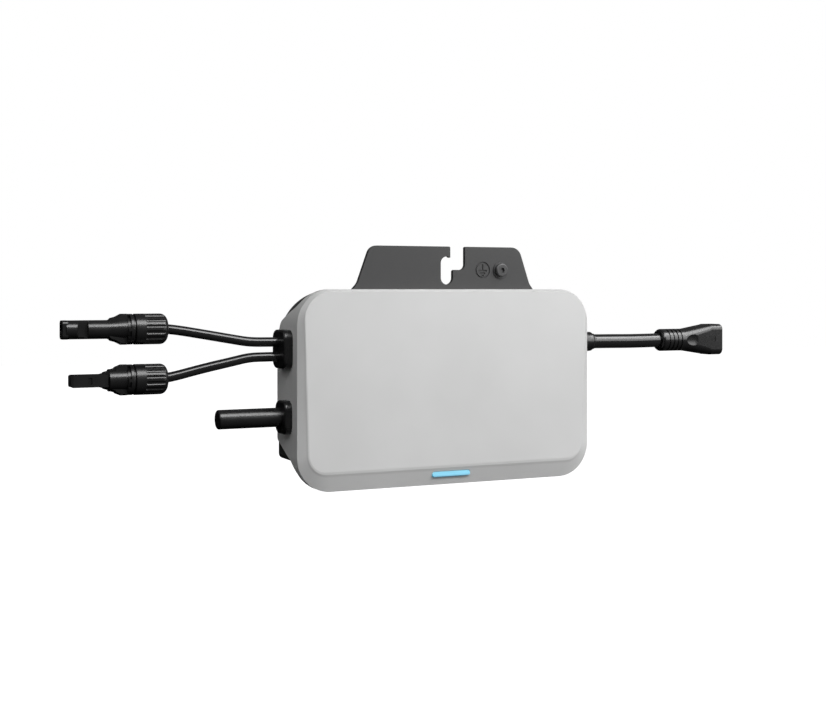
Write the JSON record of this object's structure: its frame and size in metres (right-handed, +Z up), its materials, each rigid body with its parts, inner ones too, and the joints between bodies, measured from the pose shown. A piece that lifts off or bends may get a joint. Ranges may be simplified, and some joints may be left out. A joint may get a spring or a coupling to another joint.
{
  "type": "module-level solar inverter",
  "caption": "Slim light-grey cased solar inverter with a finned rear, a hooked rail tab, panel leads with screwed connectors, a stub antenna and an alternating-current pigtail.",
  "frame": {"origin": "centre of the round seat of the hook slot, on the tab's rear (rail) face", "axes": "+X to the right seen from the front cover, +Y rearwards towards the rail and the fins, +Z up"},
  "size_m": [0.4908, 0.048, 0.16],
  "materials": {
    "cover_paint": "fine satin light grey powder coat",
    "housing_coat": "black anodised die casting",
    "bracket_coat": "dark grey powder coat",
    "screw_steel": "zinc plated",
    "dark_steel": "dark passivated",
    "seal_rubber": "matt",
    "black_plastic": "satin moulded",
    "cable_jacket": "satin extruded jacket",
    "lens_cyan": "milky lit lens",
    "light_guide": "clear acrylic",
    "board_green": "solder mask",
    "ferrite": "sintered ferrite",
    "copper_wire": "enamelled copper",
    "tinned_copper": "tin plated contact",
    "capacitor_can": "plain can",
    "film_box": "potted box",
    "chip_black": "moulded package",
    "pad_grey": "filled silicone"
  },
  "bodies": {
    "root": {"front_cover": "cover_paint", "rear_housing": "housing_coat", "cover_gasket": "seal_rubber", "cover_screws": "screw_steel", "mounting_bracket": "bracket_coat", "bracket_screws": "screw_steel", "ground_nut": "screw_steel", "led_lens": "lens_cyan", "led_light_guide": "light_guide", "led_board": "board_green", "circuit_board": "board_green", "board_screws": "screw_steel", "transformer_core": "ferrite", "transformer_winding": "copper_wire", "inductor_core": "ferrite", "inductor_winding": "copper_wire", "choke_core": "ferrite", "choke_winding": "copper_wire", "dc_capacitors": "capacitor_can", "filter_capacitors": "film_box", "power_transistors": "chip_black", "thermal_pad": "pad_grey", "grid_relay": "chip_black", "fuse": "capacitor_can", "controller_chips": "chip_black", "radio_module": "board_green", "dc_terminals": "black_plastic", "ac_terminals": "black_plastic", "dc_inner_leads": "cable_jacket", "ac_inner_leads": "cable_jacket", "pv_gland": "black_plastic", "pv_gland_seal": "seal_rubber", "antenna_gland": "black_plastic", "antenna_gland_seal": "seal_rubber", "antenna_tube": "black_plastic", "antenna_element": "board_green", "antenna_lead": "cable_jacket", "ac_gland": "black_plastic", "ac_gland_seal": "seal_rubber", "ac_strain_relief": "black_plastic", "ac_cable": "cable_jacket", "ac_connector_body": "black_plastic", "ac_connector_insert": "black_plastic", "ac_connector_contacts": "tinned_copper", "pv_upper_cable": "cable_jacket", "pv_lower_cable": "cable_jacket", "pv_socket_housing": "black_plastic", "pv_socket_seal": "seal_rubber", "pv_socket_contact": "tinned_copper", "pv_plug_housing": "black_plastic", "pv_plug_seal": "seal_rubber", "pv_plug_contact": "tinned_copper"},
    "ground_washer_body": {"ground_washer": "dark_steel"},
    "ground_screw_body": {"ground_screw": "dark_steel"},
    "socket_clamp_body": {"pv_socket_clamp_ring": "black_plastic"},
    "socket_nut_body": {"pv_socket_nut": "black_plastic"},
    "plug_clamp_body": {"pv_plug_clamp_ring": "black_plastic"},
    "plug_nut_body": {"pv_plug_nut": "black_plastic"},
    "latch_front_body": {"pv_plug_latch_front": "black_plastic"},
    "latch_rear_body": {"pv_plug_latch_rear": "black_plastic"}
  },
  "joints": [
    {"name": "ground_washer_slide", "type": "slide", "parent": "root", "child": "ground_washer_body", "axis": [0, -1, 0], "range_m": [0, 0.0016]},
    {"name": "ground_screw_turn", "type": "hinge", "parent": "ground_washer_body", "child": "ground_screw_body", "pos_m": [0.0414, -0.0042, 0.0053], "axis": [0, -1, 0], "range_deg": [0, 720]},
    {"name": "socket_clamp_slide", "type": "slide", "parent": "root", "child": "socket_clamp_body", "axis": [1, 0, 0], "range_m": [0, 0.003]},
    {"name": "socket_nut_turn", "type": "hinge", "parent": "socket_clamp_body", "child": "socket_nut_body", "pos_m": [-0.199, 0.0108, -0.0325], "axis": [1, 0, 0], "range_deg": [0, 720]},
    {"name": "plug_clamp_slide", "type": "slide", "parent": "root", "child": "plug_clamp_body", "axis": [1, 0, 0], "range_m": [0, 0.003]},
    {"name": "plug_nut_turn", "type": "hinge", "parent": "plug_clamp_body", "child": "plug_nut_body", "pos_m": [-0.199, 0.0108, -0.0638], "axis": [1, 0, 0], "range_deg": [0, 720]},
    {"name": "latch_front_bend", "type": "hinge", "parent": "root", "child": "latch_front_body", "pos_m": [-0.2273, 0.0064, -0.0638], "axis": [0, 0, -1], "range_deg": [0, 2], "stiffness_Nm_per_rad": 0.6},
    {"name": "latch_rear_bend", "type": "hinge", "parent": "root", "child": "latch_rear_body", "pos_m": [-0.2273, 0.0152, -0.0638], "axis": [0, 0, 1], "range_deg": [0, 2], "stiffness_Nm_per_rad": 0.6}
  ],
  "couplings": [
    {"joint": "ground_screw_turn", "follows": "ground_washer_slide", "rad_per_m": 7853.9},
    {"joint": "socket_nut_turn", "follows": "socket_clamp_slide", "rad_per_m": 4188.7},
    {"joint": "plug_nut_turn", "follows": "plug_clamp_slide", "rad_per_m": 4188.7}
  ]
}
